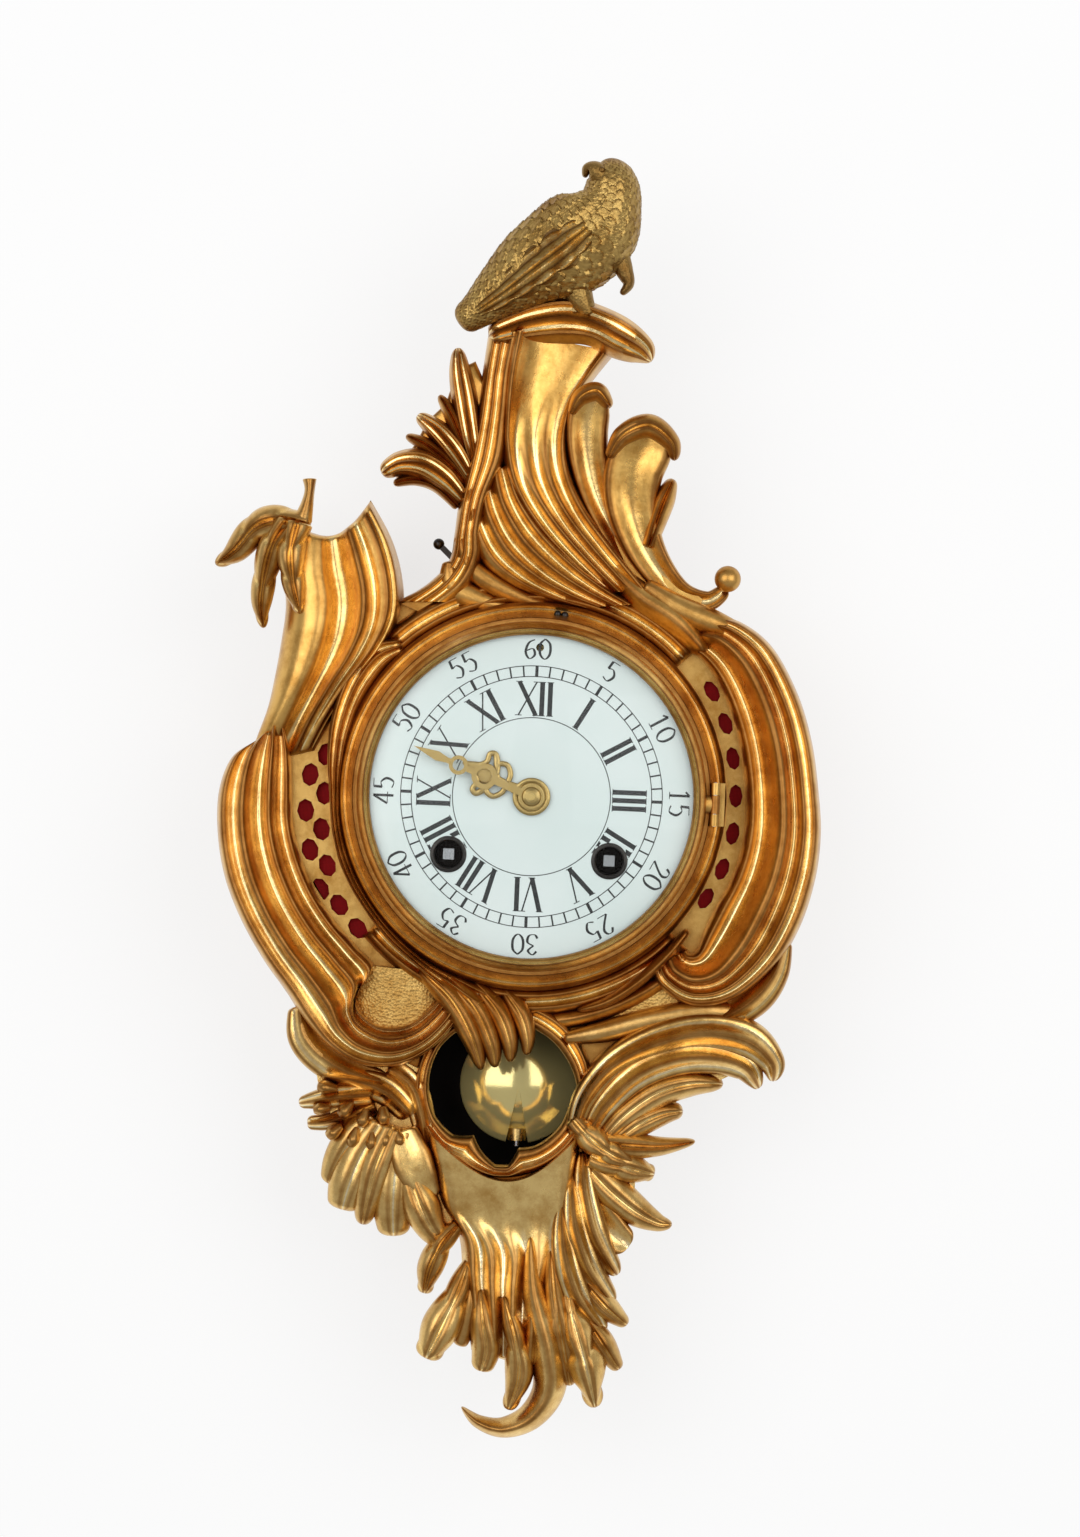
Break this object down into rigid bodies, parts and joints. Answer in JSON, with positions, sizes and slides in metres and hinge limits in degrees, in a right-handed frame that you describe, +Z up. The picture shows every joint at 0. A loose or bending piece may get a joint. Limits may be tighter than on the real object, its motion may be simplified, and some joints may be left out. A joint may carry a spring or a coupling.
{
  "type": "cartel clock",
  "caption": "Gilt bronze wall clock with scrolled leaf ornament, a parrot crest, enamel dial under domed glass, striking spring movement and a pendulum in a round window.",
  "frame": {"origin": "centre of the hanging hole, on the wall plane", "axes": "+Z up, +X to the viewer's right, the dial faces -Y, +Y into the wall"},
  "size_m": [0.2055, 0.0939, 0.4248],
  "materials": {
    "gilt_bronze": "fire-gilt, burnished ridges and matte recesses",
    "patinated_bronze": "worn gilding, stippled",
    "gilt_brass": "gilt, polished",
    "red_silk": "plain weave",
    "enamel": "glossy white enamel",
    "clear_glass": "clear",
    "polished_brass": "polished",
    "black_iron": "blacked",
    "black_steel": "blued black",
    "bell_metal": "turned",
    "steel": "polished",
    "movement_brass": "lacquered"
  },
  "bodies": {
    "case": {"case_body": "gilt_bronze", "back_strap": "black_iron", "back_cover": "movement_brass", "dial_surround": "gilt_bronze", "left_scroll": "gilt_bronze", "right_scroll": "gilt_bronze", "left_fret": "gilt_bronze", "right_fret": "gilt_bronze", "left_silk": "red_silk", "right_silk": "red_silk", "crest": "gilt_bronze", "parrot": "patinated_bronze", "upper_left_scroll": "gilt_bronze", "finial_leaf": "gilt_bronze", "window_rim": "gilt_bronze", "left_spray": "gilt_bronze", "right_spray": "gilt_bronze", "apron": "gilt_bronze", "bezel_hinge": "gilt_bronze", "hinge_pin": "steel", "dial": "enamel", "back_plate": "movement_brass", "front_plate": "movement_brass", "pillars": "movement_brass", "movement_screws": "steel", "pendulum_cock": "movement_brass", "bell": "bell_metal", "bell_stand": "movement_brass"},
    "bezel": {"bezel": "gilt_bronze", "glass": "clear_glass"},
    "minute_hand": {"minute_hand": "gilt_brass", "cannon_pinion": "movement_brass", "hand_collet": "gilt_brass"},
    "minute_wheel": {"minute_wheel": "movement_brass"},
    "hour_hand": {"hour_hand": "gilt_brass", "hour_wheel": "movement_brass"},
    "going_barrel": {"going_barrel": "movement_brass", "going_mainspring": "steel"},
    "going_arbor": {"going_arbor": "steel"},
    "going_click": {"going_click": "steel"},
    "second_wheel": {"second_wheel": "movement_brass"},
    "centre_wheel": {"centre_wheel": "movement_brass"},
    "third_wheel": {"third_wheel": "movement_brass"},
    "escape_wheel": {"escape_wheel": "movement_brass"},
    "pallet_anchor": {"pallet_anchor": "steel"},
    "pendulum": {"pendulum_rod": "steel", "pendulum_bob": "polished_brass", "rating_nut": "movement_brass"},
    "strike_barrel": {"strike_barrel": "movement_brass", "strike_mainspring": "steel"},
    "strike_arbor": {"strike_arbor": "steel"},
    "strike_click": {"strike_click": "steel"},
    "strike_second_wheel": {"strike_second_wheel": "movement_brass", "count_wheel": "movement_brass"},
    "pin_wheel": {"pin_wheel": "movement_brass"},
    "locking_wheel": {"locking_wheel": "movement_brass"},
    "warning_wheel": {"warning_wheel": "movement_brass"},
    "fly": {"fly": "movement_brass"},
    "hammer": {"hammer": "black_steel"},
    "repeat_lever": {"repeat_lever": "black_steel"}
  },
  "joints": [
    {"name": "bezel_hinge_swing", "type": "hinge", "parent": "case", "child": "bezel", "pos_m": [0.0602, -0.08, -0.084], "axis": [0, 0, 1], "range_deg": [0, 105]},
    {"name": "minute_hand_turn", "type": "hinge", "parent": "case", "child": "minute_hand", "pos_m": [0, -0.084, -0.084], "axis": [0, 1, 0], "continuous": true},
    {"name": "minute_wheel_turn", "type": "hinge", "parent": "case", "child": "minute_wheel", "pos_m": [0, -0.07, -0.0987], "axis": [0, 1, 0], "continuous": true},
    {"name": "hour_hand_turn", "type": "hinge", "parent": "case", "child": "hour_hand", "pos_m": [0, -0.0823, -0.084], "axis": [0, 1, 0], "continuous": true},
    {"name": "centre_wheel_turn", "type": "hinge", "parent": "case", "child": "centre_wheel", "pos_m": [0, -0.053, -0.084], "axis": [0, 1, 0], "continuous": true},
    {"name": "third_wheel_turn", "type": "hinge", "parent": "case", "child": "third_wheel", "pos_m": [0.00798, -0.053, -0.0726], "axis": [0, 1, 0], "continuous": true},
    {"name": "escape_wheel_turn", "type": "hinge", "parent": "case", "child": "escape_wheel", "pos_m": [0, -0.053, -0.06512], "axis": [0, 1, 0], "continuous": true},
    {"name": "second_wheel_turn", "type": "hinge", "parent": "case", "child": "second_wheel", "pos_m": [0.00898, -0.053, -0.09563], "axis": [0, 1, 0], "continuous": true},
    {"name": "going_barrel_turn", "type": "hinge", "parent": "case", "child": "going_barrel", "pos_m": [0.0264, -0.053, -0.104], "axis": [0, 1, 0], "continuous": true},
    {"name": "pin_wheel_turn", "type": "hinge", "parent": "case", "child": "pin_wheel", "pos_m": [-0.0189, -0.053, -0.07116], "axis": [0, 1, 0], "continuous": true},
    {"name": "locking_wheel_turn", "type": "hinge", "parent": "case", "child": "locking_wheel", "pos_m": [-0.01254, -0.053, -0.06357], "axis": [0, 1, 0], "continuous": true},
    {"name": "warning_wheel_turn", "type": "hinge", "parent": "case", "child": "warning_wheel", "pos_m": [-0.01679, -0.053, -0.05621], "axis": [0, 1, 0], "continuous": true},
    {"name": "fly_turn", "type": "hinge", "parent": "case", "child": "fly", "pos_m": [-0.02313, -0.053, -0.0539], "axis": [0, 1, 0], "continuous": true},
    {"name": "strike_second_wheel_turn", "type": "hinge", "parent": "case", "child": "strike_second_wheel", "pos_m": [-0.0214, -0.053, -0.08534], "axis": [0, 1, 0], "continuous": true},
    {"name": "strike_barrel_turn", "type": "hinge", "parent": "case", "child": "strike_barrel", "pos_m": [-0.0264, -0.053, -0.104], "axis": [0, 1, 0], "continuous": true},
    {"name": "going_winding", "type": "hinge", "parent": "case", "child": "going_arbor", "pos_m": [0.0264, -0.079, -0.104], "axis": [0, 1, 0], "continuous": true},
    {"name": "strike_winding", "type": "hinge", "parent": "case", "child": "strike_arbor", "pos_m": [-0.0264, -0.079, -0.104], "axis": [0, 1, 0], "continuous": true},
    {"name": "going_click_lift", "type": "hinge", "parent": "case", "child": "going_click", "pos_m": [0.03625, -0.07, -0.10574], "axis": [0, 1, 0], "range_deg": [0, 15], "stiffness_Nm_per_rad": 0.01},
    {"name": "strike_click_lift", "type": "hinge", "parent": "case", "child": "strike_click", "pos_m": [-0.03625, -0.07, -0.10574], "axis": [0, -1, 0], "range_deg": [0, 15], "stiffness_Nm_per_rad": 0.01},
    {"name": "pendulum_swing", "type": "hinge", "parent": "case", "child": "pendulum", "pos_m": [0, -0.029, -0.053], "axis": [0, 1, 0], "range_deg": [-4, 4]},
    {"name": "anchor_rock", "type": "hinge", "parent": "case", "child": "pallet_anchor", "pos_m": [0, -0.053, -0.053], "axis": [0, 1, 0], "range_deg": [-4, 4]},
    {"name": "hammer_swing", "type": "hinge", "parent": "case", "child": "hammer", "pos_m": [-0.038, -0.019, -0.07], "axis": [0, -1, 0], "range_deg": [-12, 3], "stiffness_Nm_per_rad": 0.05},
    {"name": "repeat_lever_pull", "type": "hinge", "parent": "case", "child": "repeat_lever", "pos_m": [-0.01, -0.0335, -0.038], "axis": [0, 1, 0], "range_deg": [-3, 3], "stiffness_Nm_per_rad": 0.05}
  ],
  "couplings": [
    {"joint": "minute_wheel_turn", "follows": "minute_hand_turn", "ratio": -0.75},
    {"joint": "hour_hand_turn", "follows": "minute_hand_turn", "ratio": 0.083333},
    {"joint": "third_wheel_turn", "follows": "centre_wheel_turn", "ratio": -11.429},
    {"joint": "escape_wheel_turn", "follows": "centre_wheel_turn", "ratio": 142.86},
    {"joint": "second_wheel_turn", "follows": "centre_wheel_turn", "ratio": -0.16667},
    {"joint": "going_barrel_turn", "follows": "centre_wheel_turn", "ratio": 0.027778},
    {"joint": "locking_wheel_turn", "follows": "pin_wheel_turn", "ratio": -10},
    {"joint": "warning_wheel_turn", "follows": "pin_wheel_turn", "ratio": 80},
    {"joint": "fly_turn", "follows": "pin_wheel_turn", "ratio": -640},
    {"joint": "strike_second_wheel_turn", "follows": "pin_wheel_turn", "ratio": -0.11111},
    {"joint": "strike_barrel_turn", "follows": "pin_wheel_turn", "ratio": 0.018519},
    {"joint": "anchor_rock", "follows": "pendulum_swing", "ratio": 1}
  ]
}
